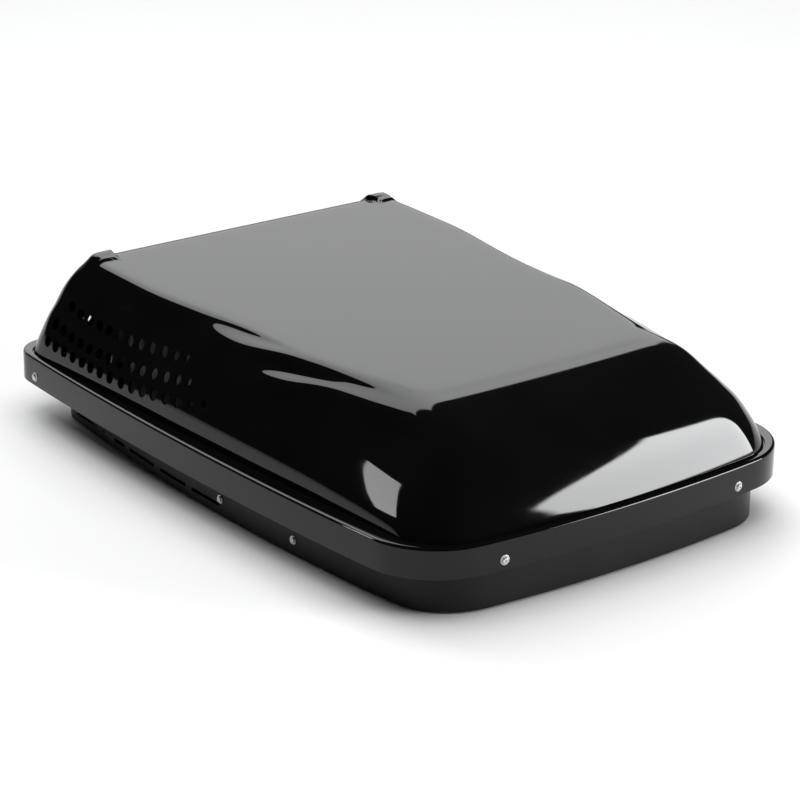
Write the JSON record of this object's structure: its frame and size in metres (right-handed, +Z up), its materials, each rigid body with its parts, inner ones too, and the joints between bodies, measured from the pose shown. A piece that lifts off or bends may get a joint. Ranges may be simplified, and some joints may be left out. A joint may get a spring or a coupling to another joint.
{
  "type": "rooftop air conditioner",
  "caption": "Low-profile caravan rooftop air conditioner: moulded shroud on a steel base pan, enclosing coils, compressor, motor, fan and blower.",
  "frame": {"origin": "centre of the footprint at the level of the roof, under the gasket", "axes": "+Z up from the roof, +Y toward the tail of the unit (air outlet holes), -Y toward the sloping nose, +X across the unit"},
  "size_m": [0.7048, 0.9999, 0.2663],
  "materials": {
    "shroud_plastic": "gloss",
    "pan_paint": "satin",
    "screw_steel": "satin",
    "washer": "satin",
    "spring_steel": "satin",
    "zinc": "satin",
    "foam_rubber": "matte",
    "copper": "satin",
    "fin_aluminium": "satin",
    "galvanised": "satin",
    "cover_plastic": "matte",
    "wheel_plastic": "matte",
    "motor_paint": "satin",
    "bearing_steel": "polished",
    "core_steel": "matte",
    "compressor_paint": "satin",
    "can_aluminium": "satin"
  },
  "bodies": {
    "chassis": {"shroud": "shroud_plastic", "base_pan": "pan_paint", "shroud_screws": "screw_steel", "shroud_washers": "washer", "clip_nuts": "spring_steel", "pan_screws": "zinc", "weld_nuts": "zinc", "roof_gasket": "foam_rubber", "support_pads": "foam_rubber", "mounting_inserts": "zinc", "evaporator_tubes": "copper", "evaporator_fins": "fin_aluminium", "evaporator_end_plates": "galvanised", "evaporator_cover": "cover_plastic", "blower_housing": "cover_plastic", "blower_inlet_ring": "cover_plastic", "motor_housing": "motor_paint", "motor_end_bells": "motor_paint", "motor_bearings": "bearing_steel", "motor_stator": "core_steel", "motor_windings": "copper", "motor_bracket": "galvanised", "motor_strap": "galvanised", "bulkhead": "galvanised", "fan_shroud_plate": "galvanised", "condenser_tubes_left": "copper", "condenser_fins_left": "fin_aluminium", "condenser_tubes_right": "copper", "condenser_fins_right": "fin_aluminium", "condenser_end_plates": "galvanised", "compressor_shell": "compressor_paint", "compressor_feet": "compressor_paint", "compressor_grommets": "foam_rubber", "compressor_studs": "zinc", "terminal_cover": "cover_plastic", "discharge_line": "copper", "crossover_line": "copper", "liquid_line": "copper", "filter_drier": "copper", "capillary_tube": "copper", "suction_line": "copper", "electrical_box": "galvanised", "electrical_box_cover": "galvanised", "wire_grommet": "foam_rubber", "run_capacitor": "can_aluminium", "capacitor_strap": "galvanised"},
    "rotor": {"motor_shaft": "bearing_steel", "motor_rotor": "core_steel", "blower_wheel": "wheel_plastic", "condenser_fan": "wheel_plastic", "set_screws": "screw_steel"}
  },
  "joints": [
    {"name": "fan_spin", "type": "hinge", "parent": "chassis", "child": "rotor", "pos_m": [0, 0.13, 0.122], "axis": [0, 1, 0], "continuous": true}
  ]
}
